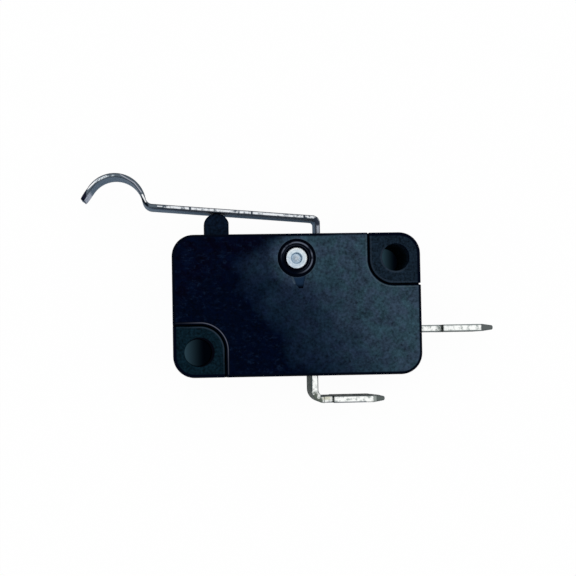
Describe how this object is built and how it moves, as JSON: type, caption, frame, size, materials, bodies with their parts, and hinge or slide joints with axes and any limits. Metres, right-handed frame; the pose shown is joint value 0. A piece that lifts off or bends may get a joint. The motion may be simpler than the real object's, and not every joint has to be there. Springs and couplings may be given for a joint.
{
  "type": "lever micro switch",
  "caption": "Snap-action switch: moulded rectangular case, long steel lever with a half-round hook end, plunger and flat push-on tabs.",
  "frame": {"origin": "midway between the two mounting holes, on the seating face at the back of the case", "axes": "+X along the case towards the end terminal, +Y towards the lever, +Z from the seating face to the cover"},
  "size_m": [0.0465, 0.0263, 0.0103],
  "materials": {
    "base_moulding": "satin black, fine moulded texture",
    "cover_moulding": "satin black, faint bloom on the right-hand side",
    "plunger_moulding": "satin black",
    "rivet_metal": "bright nickel plate",
    "lever_steel": "sheared edges, satin faces",
    "terminal_plate": "tin or silver plate",
    "frame_brass": "stamped",
    "contact_metal": "silver, turned",
    "arm_copper": "rolled copper alloy",
    "drive_steel": "stamped",
    "spring_steel": "drawn wire"
  },
  "bodies": {
    "case": {"base": "base_moulding", "cover": "cover_moulding", "cover_rivet": "rivet_metal", "common_terminal": "terminal_plate", "open_terminal": "terminal_plate", "pivot_frame": "frame_brass", "fixed_contact": "contact_metal", "rest_stop": "frame_brass"},
    "lever": {"lever": "lever_steel"},
    "plunger": {"plunger": "plunger_moulding"},
    "drive_lever": {"drive_lever": "drive_steel"},
    "contact_arm": {"contact_arm": "arm_copper", "moving_contact": "contact_metal", "snap_spring": "spring_steel"}
  },
  "joints": [
    {"name": "lever_pivot", "type": "hinge", "parent": "case", "child": "lever", "pos_m": [0.00265, 0.006, 0.00515], "axis": [0, 0, 1], "range_deg": [0, 8.4], "stiffness_Nm_per_rad": 0.02, "springref_deg": -2.29},
    {"name": "plunger_slide", "type": "slide", "parent": "case", "child": "plunger", "axis": [0, -1, 0], "range_m": [0, 0.0017]},
    {"name": "drive_pivot", "type": "hinge", "parent": "case", "child": "drive_lever", "pos_m": [-0.00335, -0.0025, 0.00515], "axis": [0, 0, 1], "range_deg": [0, 17.5]},
    {"name": "arm_pivot", "type": "hinge", "parent": "case", "child": "contact_arm", "pos_m": [-0.00305, -0.00017, 0.00515], "axis": [0, 0, -1], "range_deg": [0, 4.1], "deforming": ["snap_spring"]}
  ],
  "couplings": [
    {"joint": "plunger_slide", "follows": "lever_pivot", "m_per_rad": 0.011459},
    {"joint": "drive_pivot", "follows": "lever_pivot", "ratio": 2.076},
    {"joint": "arm_pivot", "follows": "lever_pivot", "ratio": 0.488}
  ]
}
